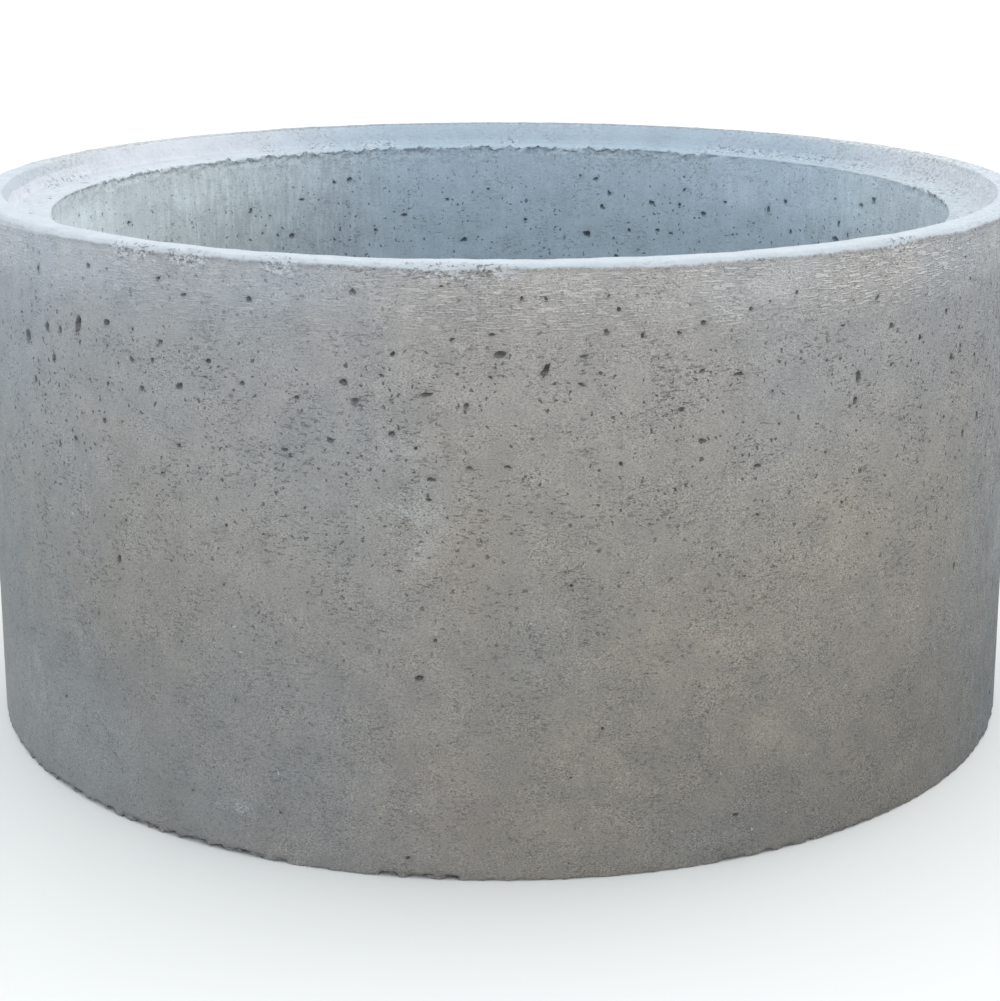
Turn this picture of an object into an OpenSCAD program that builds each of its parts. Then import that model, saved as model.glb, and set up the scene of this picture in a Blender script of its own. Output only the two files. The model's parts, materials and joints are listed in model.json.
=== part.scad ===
// Precast concrete culvert ring, cast in one piece and standing on its end.
// The origin is the centre of the base, with +Z up along the ring's axis.

/* [Ring] */
// Inside diameter, which is the clear passage through the ring
bore_d = 1000; // [700:10:2000]
// Thickness of the wall
wall = 80; // [76:1:160]
// Height from the base to the top of the rim
height = 590; // [290:10:1190]

/* [Rebate] */
// Width of the raised rim across its top
rim_w = 28; // [20:1:34]
// Depth of the rebate, from the top of the rim down to the ledge
rebate_depth = 27; // [18:1:50]
// How far the rebate's wall leans outwards from its foot to its top
rebate_lean = 12; // [4:1:16]
// Radius of the cove where the rebate's wall meets the ledge
cove_r = 9; // [3:1:12]

/* [Edges] */
// Rounding of the rim's outer edge
rim_outer_r = 6; // [2:0.5:8]
// Rounding of the rim's inner edge
rim_inner_r = 4; // [1:0.5:6]
// Rounding of the ledge's edge over the passage
ledge_r = 2; // [1:0.5:4]
// Rounding of both edges of the base
base_r = 2; // [1:0.5:4]

/* [Hidden] */

$fn = 128;
bore_r = bore_d / 2;
outer_r = bore_r + wall;
ledge_z = height - rebate_depth;
rim_inner_x = outer_r - rim_w;
rebate_foot_x = rim_inner_x - rebate_lean;
// Angle of the rebate's wall above the level, seen from its foot
rebate_angle = atan2(rebate_depth, rebate_lean);

// The sliver between a corner at p and an arc of radius r that touches both of its edges.
// from and to are the directions of the two edges, leaving p, in degrees counter-clockwise.
module corner_sliver(p, from, to, r) {
    half = (to - from) / 2;
    reach = r / tan(half);
    difference() {
        polygon([
            p,
            p + reach * [cos(from), sin(from)],
            p + reach * [cos(to), sin(to)]
        ]);
        translate(p + r / sin(half) * [cos(from + half), sin(from + half)]) circle(r = r);
    }
}

// Section of the wall with sharp corners: x is the distance from the axis, y the height.
module sharp_section() {
    polygon([
        [bore_r, 0],
        [outer_r, 0],
        [outer_r, height],
        [rim_inner_x, height],
        [rebate_foot_x, ledge_z],
        [bore_r, ledge_z]
    ]);
}

// Section of the wall with its edges rounded and the cove filled in.
module section() {
    difference() {
        union() {
            sharp_section();
            corner_sliver([rebate_foot_x, ledge_z], rebate_angle, 180, cove_r);
        }
        corner_sliver([outer_r, height], 180, 270, rim_outer_r);
        corner_sliver([rim_inner_x, height], 180 + rebate_angle, 360, rim_inner_r);
        corner_sliver([bore_r, ledge_z], 270, 360, ledge_r);
        corner_sliver([bore_r, 0], 0, 90, base_r);
        corner_sliver([outer_r, 0], 90, 180, base_r);
    }
}

module culvert_ring() {
    color([0.56, 0.56, 0.55]) rotate_extrude() section();
}

culvert_ring();
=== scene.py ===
"""Precast concrete culvert ring: its cast surface, its finish, the floor, the light and the camera."""
import json
import logging
import math
import random
from dataclasses import dataclass, field
from enum import Enum

import bmesh
import bpy
from mathutils import Matrix, Vector, noise


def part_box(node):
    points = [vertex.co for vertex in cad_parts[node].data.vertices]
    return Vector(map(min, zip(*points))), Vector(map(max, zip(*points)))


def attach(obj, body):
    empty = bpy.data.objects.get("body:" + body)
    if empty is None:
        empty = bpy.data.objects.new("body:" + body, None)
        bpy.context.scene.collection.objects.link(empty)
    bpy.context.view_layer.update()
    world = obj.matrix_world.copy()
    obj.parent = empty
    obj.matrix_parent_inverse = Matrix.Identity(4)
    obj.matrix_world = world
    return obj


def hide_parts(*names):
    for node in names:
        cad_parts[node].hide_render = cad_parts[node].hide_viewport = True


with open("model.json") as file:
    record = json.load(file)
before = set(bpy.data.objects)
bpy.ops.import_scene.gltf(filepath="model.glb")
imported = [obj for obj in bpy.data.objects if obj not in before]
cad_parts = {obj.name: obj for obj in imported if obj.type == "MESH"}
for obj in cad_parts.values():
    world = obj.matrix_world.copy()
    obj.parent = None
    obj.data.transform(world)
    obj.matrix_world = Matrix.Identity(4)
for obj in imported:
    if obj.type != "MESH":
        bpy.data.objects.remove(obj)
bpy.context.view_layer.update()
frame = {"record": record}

NODE = "culvert_ring"
BODY = "root"

MM = 0.001
FULL_TURN = 2 * math.pi
# The masks that the mesh holds at its vertices. The mask of the air holes and the mask of the crumbs carry
# painted shade.
MASKS = ("laitance", "passage", "pit_shade", "bloom", "rust", "crumbs_and_shade")

Colour = tuple[float, float, float]
Corner = tuple[float, float]
Rows = tuple[tuple[float, ...], ...]
Socket = bpy.types.NodeSocket
Value = Socket | float

log = logging.getLogger("culvert_ring")


class Sheet(Enum):
    """The faces of the ring that can hold air holes."""

    OUTER = "outer wall"
    BORE = "wall of the passage"
    LEDGE = "ledge of the rebate"


def ease(value: float, low: float, high: float) -> float:
    """Smooth step.

    Args:
        value: The value to place between the two limits.
        low: Where the step starts.
        high: Where the step ends; it may be below low, which turns the step round.

    Returns:
        0 before low, 1 past high, and a smooth rise between them.
    """
    t = min(1.0, max(0.0, (value - low) / (high - low)))
    return t * t * (3 - 2 * t)


def grain(co: Vector, across: float, up: float, shift: float = 0.0) -> float:
    """Stretched noise.

    Args:
        co: Place in metres.
        across: Waves for each metre along X and Y.
        up: Waves for each metre along Z.
        shift: Moves the pattern, so that two layers differ.

    Returns:
        A value from 0 to 1, mostly near the middle.
    """
    wave = noise.noise(Vector((co.x * across + shift, co.y * across - shift, co.z * up + shift)))
    return min(1.0, max(0.0, 0.5 + 0.5 * wave))


def turn_of(co: Vector) -> float:
    """Angle of a place round the axis, in radians from -Y towards +X."""
    return math.atan2(co.x, -co.y)


def degrees_off(co: Vector, middle: float) -> float:
    """How far round the axis a place is from a turn given in degrees, from -180 to 180."""
    return (math.degrees(turn_of(co)) - middle + 180) % 360 - 180


def radius_of(co: Vector) -> float:
    """Distance of a place from the axis."""
    return math.hypot(co.x, co.y)


@dataclass(frozen=True)
class Side:
    """A straight stretch of the wall's section, with the height of its rows of faces.

    Attributes:
        start: First corner, as distance from the axis and height.
        end: Last corner.
        pitch: Largest height of a row of faces along it.
    """

    start: Corner
    end: Corner
    pitch: float

    def holds(self, x: float, z: float) -> bool:
        """Says whether a point lies on this stretch.

        Args:
            x: Its distance from the axis.
            z: Its height.

        Returns:
            True where it does.
        """
        start, point = Vector(self.start), Vector((x, z))
        run = Vector(self.end) - start
        along = (point - start).dot(run) / run.length_squared
        return 0 <= along <= 1 and (start + along * run - point).length < 0.02 * MM


@dataclass
class Section:
    """The wall's section, from the frame's box and mounts, and a few widths of its own.

    Attributes:
        outer_r: Outside radius.
        bore_r: Radius of the passage.
        height: From the base to the top of the rim.
        ledge_z: Height of the rebate's ledge.
        rim_w: Width of the rim across its top.
        rebate_lean: How far the rebate's wall leans outwards.
        cove_r: Radius of the cove over the ledge.
        rim_outer_r: Rounding of the rim's outer edge.
        rim_inner_r: Rounding of the rim's inner edge.
        lip_r: Rounding of the ledge's edge over the passage.
        base_r: Rounding of both edges of the base.
        drag_low: Foot of the band that the collar dragged, under the rim.
        drag_high: Top of that band.
        busy_z: Height over which the outer wall has smaller faces, as most of its holes are there.
        still_z: Height under which the wall of the passage has larger faces.
        foot_band: Height of the finely cut band along the foot.
        lip_band: Height of the finely cut band under the lip of the passage.
        burr_band: Width of the finely cut band on the ledge, along its lip.
    """

    outer_r: float
    bore_r: float
    height: float
    ledge_z: float
    rim_w: float = 28 * MM
    rebate_lean: float = 12 * MM
    cove_r: float = 9 * MM
    rim_outer_r: float = 6 * MM
    rim_inner_r: float = 4 * MM
    lip_r: float = 2 * MM
    base_r: float = 2 * MM
    drag_low: float = 512 * MM
    drag_high: float = 573 * MM
    busy_z: float = 360 * MM
    still_z: float = 300 * MM
    foot_band: float = 11 * MM
    lip_band: float = 16 * MM
    burr_band: float = 12 * MM

    @property
    def rim_inner_x(self) -> float:
        """Radius of the rim's inner edge."""
        return self.outer_r - self.rim_w

    @property
    def rebate_foot_x(self) -> float:
        """Radius where the rebate's wall meets the ledge."""
        return self.rim_inner_x - self.rebate_lean

    def sides(self) -> list[Side]:
        """Lists the stretches of the section.

        Returns:
            The stretches, in order round it.
        """
        bore, outer, top, ledge = self.bore_r, self.outer_r, self.height, self.ledge_z
        lip = ledge - self.lip_band
        corners = [
            ((bore, 0), 18 * MM),
            ((outer, 0), 3 * MM),
            ((outer, self.foot_band), 13 * MM),
            ((outer, self.busy_z), 10 * MM),
            ((outer, self.drag_low), 2.4 * MM),
            ((outer, self.drag_high), 2.8 * MM),
            ((outer, top), 7 * MM),
            ((self.rim_inner_x, top), 6 * MM),
            ((self.rebate_foot_x, ledge), 8 * MM),
            ((bore + self.burr_band, ledge), 3.2 * MM),
            ((bore, ledge), 3 * MM),
            ((bore, lip), 10 * MM),
            ((bore, self.still_z), 18 * MM),
            ((bore, self.foot_band), 6 * MM),
        ]
        ends = [corner for corner, _ in corners[1:] + corners[:1]]
        return [Side(start, end, pitch) for (start, pitch), end in zip(corners, ends)]

    def roundings(self) -> list[tuple[Corner, float, int]]:
        """Each corner that is rounded, with its radius and the faces round it."""
        return [
            ((self.bore_r, 0), self.base_r, 2),
            ((self.outer_r, 0), self.base_r, 2),
            ((self.outer_r, self.height), self.rim_outer_r, 4),
            ((self.rim_inner_x, self.height), self.rim_inner_r, 3),
            ((self.rebate_foot_x, self.ledge_z), self.cove_r, 4),
            ((self.bore_r, self.ledge_z), self.lip_r, 2),
        ]

    def draw(self, bm: bmesh.types.BMesh) -> None:
        """Draws the section as a closed ring of edges in the XZ plane.

        Args:
            bm: The mesh that gets the edges.
        """
        sides = self.sides()
        points = {side.start: bm.verts.new((side.start[0], 0, side.start[1])) for side in sides}
        bm.faces.new(points.values())
        for corner, radius, steps in self.roundings():
            vert = points[corner]
            one, two = [edge.other_vert(vert).co - vert.co for edge in vert.link_edges]
            reach = radius / math.tan(one.angle(two) / 2)
            bmesh.ops.bevel(bm, geom=[vert], affect="VERTICES", offset=reach, offset_type="OFFSET",
                            segments=steps, profile=0.5, material=-1, clamp_overlap=False)
        bmesh.ops.delete(bm, geom=list(bm.faces), context="FACES_ONLY")
        for side in sides:
            for edge in list(bm.edges):
                cuts = math.ceil(edge.calc_length() / side.pitch) - 1
                if cuts > 0 and all(side.holds(vert.co.x, vert.co.z) for vert in edge.verts):
                    bmesh.ops.subdivide_edges(bm, edges=[edge], cuts=cuts)


@dataclass
class Relief:
    """How far the rough surface lies below the clean one, everywhere on the ring.

    Attributes:
        section: The wall's section.
        swell: Depth of the slow waves that a worn mould leaves.
        lumps: Depth of the waves a few centimetres long.
        crust: Depth of the waves under a centimetre long.
        base_grain: Depth of the uneven places under the base.
        drag: Depth of the marks of the collar under the rim.
        rim_waves: Depth of the uneven places on the rim.
        scab: Depth of the rough band of the passage's wall, under its lip.
        burr: Height of the crumbs that stand on the lip.
        scabby: Where that band is rough, in the same way as crumbled.
        streaks: Depth of the upright marks on the wall of the passage.
        foot_chips: Depth of the chips along the foot.
        rim_chips: Depth of the chips along the rim.
        lip_chips: Depth of the tears along the lip of the passage.
        crumbled: Where the rim's edge crumbled: the middle and half the width, in degrees.
        torn: Where the lip of the passage tore most, in the same way.
        specked: Where the rebate holds crumbs with dark flecks of painted shade, in the same way.
        frayed: Where the foot is most ragged, in the same way.
        dimples: The dents that stand out on the outer wall. Each has its turn in degrees, its height,
            half its width, half its height and its depth.
    """

    section: Section
    swell: float = 1.0 * MM
    lumps: float = 0.9 * MM
    crust: float = 0.45 * MM
    base_grain: float = 0.3 * MM
    drag: float = 0.4 * MM
    rim_waves: float = 2.8 * MM
    scab: float = 2.2 * MM
    burr: float = 3.6 * MM
    streaks: float = 0.5 * MM
    foot_chips: float = 6.5 * MM
    rim_chips: float = 2.6 * MM
    lip_chips: float = 6.0 * MM
    scabby: Rows = ((-135, 38), (160, 12), (60, 20))
    crumbled: Rows = (
        (-36, 2.5), (-29.5, 2), (-20, 1.5), (-4, 4.5), (41, 2), (96, 4), (150, 3), (-112, 5), (-71, 2),
    )
    torn: Rows = ((-176, 22), (-143, 11), (-116, 9), (150, 3), (-60, 14), (28, 12), (95, 8))
    specked: Rows = ((128, 20), (103, 9), (-152, 12), (-98, 12), (172, 7), (75, 5), (-20, 9))
    frayed: Rows = ((-40, 18), (-8, 4), (130, 14), (-140, 10))
    dimples: Rows = (
        (-3.5, 0.335, 20 * MM, 6 * MM, 2.2 * MM),
        (8.5, 0.17, 11 * MM, 8 * MM, 2.0 * MM),
        (32.0, 0.265, 10 * MM, 9 * MM, 2.0 * MM),
        (-24.0, 0.045, 17 * MM, 9 * MM, 2.4 * MM),
        (-40.0, 0.255, 12 * MM, 10 * MM, 2.0 * MM),
        (118.0, 0.31, 18 * MM, 9 * MM, 2.2 * MM),
        (172.0, 0.2, 14 * MM, 10 * MM, 2.0 * MM),
        (-128.0, 0.39, 20 * MM, 8 * MM, 2.2 * MM),
    )

    def dents(self, co: Vector) -> float:
        """Depth of the dents of the outer wall.

        Args:
            co: A place on the clean wall, in metres.

        Returns:
            The depth of the dents there.
        """
        total = 0.0
        for turn, z, wide, high, deep in self.dimples:
            across = math.radians(degrees_off(co, turn)) * self.section.outer_r / wide
            up = (co.z - z) / high
            total += deep * math.exp(-(across * across + up * up))
        return total

    def drag_mask(self, co: Vector) -> float:
        """How strong the collar's marks are.

        Args:
            co: A place on the clean outer wall, in metres.

        Returns:
            0 where there are none, 1 where they are strongest.
        """
        section = self.section
        band = ease(co.z, section.drag_low, section.drag_low + 20 * MM)
        band *= ease(co.z, section.drag_high + 8 * MM, section.drag_high - 2 * MM)
        patch = ease(grain(co, 4.5, 9, 3.3) + 0.12 * co.x / section.outer_r, 0.38, 0.6)
        return band * (0.25 + 0.75 * patch)

    def depth(self, co: Vector) -> float:
        """Depth of the rough surface.

        Args:
            co: A place on the clean surface, in metres.

        Returns:
            How far the surface is to move into the concrete there, never below zero.
        """
        section = self.section
        radius = radius_of(co)
        is_base = co.z < 0.5 * MM
        is_outer = radius > section.outer_r - 1 * MM and co.z < section.height - section.rim_outer_r
        is_bore = radius < section.bore_r + 1 * MM
        if is_base:
            total = self.base_grain * grain(co, 60, 60, 1)
        else:
            calm = 1.0 if is_outer or is_bore else 0.35
            total = calm * (self.swell * grain(co, 2.4, 2.4, 11) + self.lumps * grain(co, 17, 17, 5))
            total += calm * self.crust * grain(co, 75, 75, 2)
            total += self.wall_marks(co) if is_outer else 0.0
            total += self.passage_marks(co) if is_bore else 0.0
        on_rim = ease(co.z, section.height - 12 * MM, section.height - 3 * MM)
        waves = 0.4 * grain(co, 14, 14, 18) + 0.3 * grain(co, 55, 55, 19) + 0.3 * grain(co, 120, 120, 20)
        total += self.rim_waves * on_rim * waves
        return total + self.broken_edges(co, radius)

    def wall_marks(self, co: Vector) -> float:
        """Depth of the collar's marks and the dents at a place on the outer wall."""
        return self.drag * self.drag_mask(co) * ease(grain(co, 16, 210, 7), 0.35, 0.62) + self.dents(co)

    def passage_marks(self, co: Vector) -> float:
        """Depth of the upright marks and the scabs of the passage.

        Args:
            co: A place on its clean wall, in metres.

        Returns:
            The depth of both together.
        """
        band = ease(co.z, self.section.ledge_z - 45 * MM, self.section.ledge_z - 15 * MM)
        rough = 0.25 + 0.75 * self.near(co, self.scabby)
        scabs = self.scab * band * rough * ease(grain(co, 110, 160, 6), 0.3, 0.7)
        return self.streaks * ease(grain(co, 60, 3, 9), 0.4, 0.7) + scabs

    def lift(self, co: Vector) -> float:
        """Height of the crumbs that stand on the lip of the passage.

        Args:
            co: A place on the clean surface, in metres.

        Returns:
            How far the surface is to rise there.
        """
        section = self.section
        radius = radius_of(co)
        edge = ease(radius, section.bore_r + 10 * MM, section.bore_r + 3 * MM)
        edge *= ease(co.z, section.ledge_z - 6 * MM, section.ledge_z - 1 * MM)
        if not edge:
            return 0.0
        crumb = 0.4 * grain(co, 60, 60, 24) + 0.6 * grain(co, 170, 170, 25)
        patch = 0.12 + 0.88 * self.near(co, self.torn)
        return self.burr * edge * patch * ease(crumb, 0.44, 0.68)

    def near(self, co: Vector, places: Rows) -> float:
        """How close a place is to the nearest of some stretches round the ring.

        Args:
            co: The place.
            places: The middle and half the width of each stretch, in degrees.

        Returns:
            1 in the middle of a stretch, 0 well outside all of them.
        """
        return ease(min(abs(degrees_off(co, middle)) / half for middle, half in places), 1.6, 0.6)

    def broken_edges(self, co: Vector, radius: float) -> float:
        """Depth of the chips along the foot, the rim and the lip of the passage.

        Args:
            co: A place on the clean surface, in metres.
            radius: Its distance from the axis.

        Returns:
            The depth of the chips there.
        """
        section = self.section
        bite = 0.6 * grain(co, 80, 80, 4) + 0.4 * grain(co, 190, 190, 8)
        total = 0.0
        foot = ease(co.z, 9 * MM, 1 * MM)
        foot *= ease(radius, section.outer_r - 9 * MM, section.outer_r - 1 * MM)
        if foot:
            patch = max(0.2 + 0.3 * ease(grain(co, 5, 5, 21), 0.35, 0.6), self.near(co, self.frayed))
            total += self.foot_chips * foot * patch * ease(bite, 0.34, 0.66)
        rim = ease(co.z, section.height - 22 * MM, section.height - 5 * MM)
        rim *= ease(radius, section.outer_r - 6 * MM, section.outer_r - 1.5 * MM)
        if rim:
            patch = 0.2 + 0.8 * self.near(co, self.crumbled)
            total += self.rim_chips * rim * patch * ease(bite, 0.42, 0.62)
        lip = ease(co.z, section.ledge_z - 14 * MM, section.ledge_z - 3 * MM)
        lip *= ease(radius, section.bore_r + 7 * MM, section.bore_r + 1.5 * MM)
        if lip:
            patch = 0.18 + 0.82 * self.near(co, self.torn)
            total += self.lip_chips * lip * patch * ease(bite, 0.40, 0.66)
        return total


@dataclass(frozen=True)
class Pit:
    """One air hole.

    Attributes:
        sheet: The face of the ring that it is in.
        turn: Where it is round the axis, in radians from -Y towards +X.
        along: Its height, or its distance from the axis on the ledge.
        wide: Half its width.
        high: Half its height.
        deep: Its depth.
        tilt: How far its long way is turned, in radians.
    """

    sheet: Sheet
    turn: float
    along: float
    wide: float
    high: float
    deep: float
    tilt: float = 0.0

    def reach(self) -> tuple[float, float]:
        """How far it reaches from its middle, across and up."""
        cos_t, sin_t = abs(math.cos(self.tilt)), abs(math.sin(self.tilt))
        return max(self.wide * cos_t, self.high * sin_t), max(self.wide * sin_t, self.high * cos_t)


@dataclass
class PitPlan:
    """Where the air holes are: a few large ones listed one by one, and many scattered ones.

    Attributes:
        section: The wall's section.
        outer_count: How many are tried on the outer wall.
        bore_count: How many are tried on the wall of the passage.
        ledge_count: How many are tried on the ledge.
        chance: Where the random numbers come from.
        front: The large holes of the outer wall. Each has its turn in degrees, then in millimetres its
            height, half its width, half its height and its depth, and last its tilt in degrees.
        inside: The large holes of the passage, in the same way.
    """

    section: Section
    outer_count: int = 2100
    bore_count: int = 1500
    ledge_count: int = 220
    chance: random.Random = field(default_factory=lambda: random.Random(11))
    front: Rows = (
        (-14, 475, 3.4, 3.4, 3.2, 0), (-9.5, 505, 2.4, 2.4, 2.6, 0), (0, 505, 6.2, 3.3, 3.4, 8),
        (4, 490, 7.8, 3.2, 3.4, 62), (-6.5, 470, 4.8, 2.6, 2.8, 10), (-10, 435, 3.8, 2.4, 2.2, 0),
        (9, 525, 3.0, 3.2, 1.4, 0), (10.5, 545, 2.3, 2.3, 2.4, 0), (-13.5, 560, 3.6, 3.2, 1.2, 0),
        (23, 540, 2.2, 2.2, 2.2, 0), (18, 530, 2.8, 2.2, 2.4, 20), (37.5, 535, 5.5, 1.6, 1.6, 50),
        (39.5, 505, 3.2, 2.6, 2.6, 0), (22, 480, 5.4, 1.8, 2.6, 5), (35.5, 460, 3.4, 6.4, 3.6, -10),
        (50.5, 455, 3.4, 3.4, 2.8, 0), (57, 385, 3.2, 5.5, 2.8, 0), (24, 390, 4.4, 1.8, 2.0, 0),
        (53, 235, 2.2, 4.5, 2.4, 0), (-44.8, 501, 4.6, 10.0, 4.6, -20),
        (-54.5, 472, 6.0, 8.0, 3.6, 5), (-50.5, 487, 3.8, 5.2, 3.2, 0), (-47.5, 491, 3.2, 4.0, 2.8, 0),
        (-40.5, 510, 4.5, 3.4, 2.8, 30), (-42.5, 560, 2.8, 2.8, 2.6, 0), (-33, 558, 2.6, 3.0, 1.6, 0),
        (-23, 548, 3.2, 2.8, 2.4, 0), (-39.5, 275, 3.0, 4.2, 2.6, 0), (-51.5, 545, 2.4, 4.2, 2.2, -12),
        (-49.5, 458, 3.6, 4.6, 3.0, -20), (-53, 434, 2.6, 3.6, 2.4, 25), (-48.5, 370, 2.2, 3.6, 2.2, 0),
        (-41, 408, 2.4, 3.2, 2.6, -20), (-37, 477, 2.8, 2.8, 2.0, 0), (-36, 453, 3.2, 3.2, 1.6, 0),
        (-34, 482, 2.6, 2.6, 2.2, 0), (-33, 500, 3.2, 2.6, 1.8, 0), (-31, 457, 4.2, 3.2, 3.2, 15),
        (-30, 546, 2.8, 1.8, 1.6, 0), (-27.5, 484, 3.2, 2.4, 2.8, 0), (-25.5, 478, 6.4, 2.8, 2.0, 28),
        (-24, 470, 2.8, 2.2, 2.2, 0), (-20, 411, 3.6, 1.8, 1.8, 0), (-18.5, 461, 2.8, 1.9, 2.2, 0),
        (-17, 436, 5.6, 3.8, 2.4, 5), (-15.5, 425, 3.4, 2.4, 2.2, -30), (-13, 462, 4.6, 3.2, 1.6, 30),
        (-7.5, 420, 2.2, 1.5, 2.4, 0), (-6, 391, 4.6, 2.0, 2.0, -5), (-3, 458, 2.8, 3.6, 1.6, -10),
        (-2.5, 403, 3.4, 1.8, 1.4, 0), (-1, 525, 3.2, 1.4, 1.8, 0), (1, 404, 3.6, 1.6, 1.6, -10),
        (7, 479, 3.4, 1.7, 1.8, -20), (7.5, 505, 4.4, 1.2, 1.4, 5), (12.5, 521, 1.8, 2.6, 2.4, 0),
        (16, 522, 2.6, 1.6, 2.2, 0), (16.5, 454, 2.4, 2.2, 2.2, 0), (18, 484, 3.0, 1.7, 2.0, 25),
        (18, 420, 4.4, 2.4, 1.8, -10), (20.5, 471, 2.0, 3.0, 2.2, 0), (24, 480, 3.2, 1.5, 2.2, -20),
        (28, 550, 1.8, 2.4, 2.2, 0), (33.5, 514, 3.2, 1.0, 1.6, 0), (40, 465, 1.8, 2.2, 2.0, 0),
        (48.5, 506, 2.2, 3.6, 2.2, 0), (53.5, 373, 2.8, 4.4, 2.4, 0),
    )
    inside: Rows = (
        (-156, 525, 4.5, 3.2, 3.0, 0), (-153.5, 518, 2.8, 2.4, 3.0, 0), (-148, 500, 3.8, 2.2, 3.0, 10),
        (-139, 490, 2.2, 4.0, 3.0, 0), (165, 519, 3.6, 2.6, 3.0, 0), (163, 500, 2.8, 3.4, 3.4, 0),
        (164, 483, 2.2, 3.6, 3.4, 0), (147, 480, 4.4, 3.4, 3.4, 20), (149.5, 470, 2.8, 2.2, 3.0, 0),
        (135, 497, 2.6, 4.6, 3.4, 0), (116, 523, 4.0, 2.8, 2.6, 0), (121, 490, 2.4, 5.0, 3.0, 10),
        (-172, 488, 2.6, 2.2, 3.0, 0), (-165, 470, 3.4, 2.4, 3.2, 0), (176, 462, 2.8, 2.2, 3.0, 0),
        (155, 455, 3.2, 2.4, 3.2, 0), (-160, 452, 2.8, 2.2, 3.0, 0), (131, 470, 2.2, 3.4, 3.0, 0),
        (143, 500, 2.6, 2.0, 2.6, 20), (151, 490, 2.2, 3.0, 2.6, 0), (-178, 505, 2.4, 2.0, 2.4, 0),
    )

    def landmarks(self) -> list[Pit]:
        """The large holes listed one by one, which give the front and the passage their look."""
        return [Pit(sheet, math.radians(turn), z * MM, w * MM, h * MM, d * MM, math.radians(tilt))
                for sheet, places in ((Sheet.OUTER, self.front), (Sheet.BORE, self.inside))
                for turn, z, w, h, d, tilt in places]

    def size(self, middle: float, spread: float, most: float) -> float:
        """A size drawn so that most holes are small and a few are large."""
        return min(most, middle * math.exp(self.chance.gauss(0, spread)))

    def scatter(self, sheet: Sheet, count: int) -> list[Pit]:
        """Scatters holes over one face of the ring, in loose groups.

        They are rarer towards the foot, and fewer and smaller in the band that the collar dragged.

        Args:
            sheet: The face that gets them.
            count: How many are tried.

        Returns:
            The holes that are kept, fewer than count.
        """
        section, chance, pits = self.section, self.chance, []
        for _ in range(count):
            turn = chance.uniform(-math.pi, math.pi)
            if sheet is Sheet.LEDGE:
                along = chance.uniform(section.bore_r + 14 * MM, section.rebate_foot_x - 11 * MM)
                half = self.size(1.6 * MM, 0.4, 3.5 * MM)
                keep = 1.0
            elif sheet is Sheet.OUTER:
                along = chance.uniform(20 * MM, section.drag_high - 4 * MM)
                half = self.size(1.28 * MM, 0.42, (3.6 - 1.6 * ease(along, 0.49, 0.52)) * MM)
                keep = 0.08 + 0.92 * ease(along, 0.28, 0.46) - 0.55 * ease(along, 0.49, 0.53)
            else:
                along = chance.uniform(20 * MM, section.ledge_z - 22 * MM)
                half = self.size(2.15 * MM, 0.42, 4.8 * MM)
                keep = 0.10 + 0.90 * ease(along, 0.26, 0.44) - 0.45 * ease(along, 0.505, 0.535)
            place = Vector((math.sin(turn), -math.cos(turn), along * 1.7))
            keep *= 0.22 + 0.78 * ease(grain(place, 3.5, 3.5, 17), 0.36, 0.6)
            shape = chance.uniform(0.72, 1.5)
            deep = half * chance.uniform(0.8, 1.3)
            tilt = chance.uniform(-0.8, 0.8)
            if chance.random() < keep:
                pits.append(Pit(sheet, turn, along, half * shape, half / shape, deep, tilt))
        return pits

    def all(self) -> list[Pit]:
        """Lists every hole.

        Returns:
            The holes, the large ones first so that they get their places.
        """
        pits = self.landmarks()
        pits += self.scatter(Sheet.OUTER, self.outer_count)
        pits += self.scatter(Sheet.BORE, self.bore_count)
        pits += self.scatter(Sheet.LEDGE, self.ledge_count)
        return pits


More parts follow.
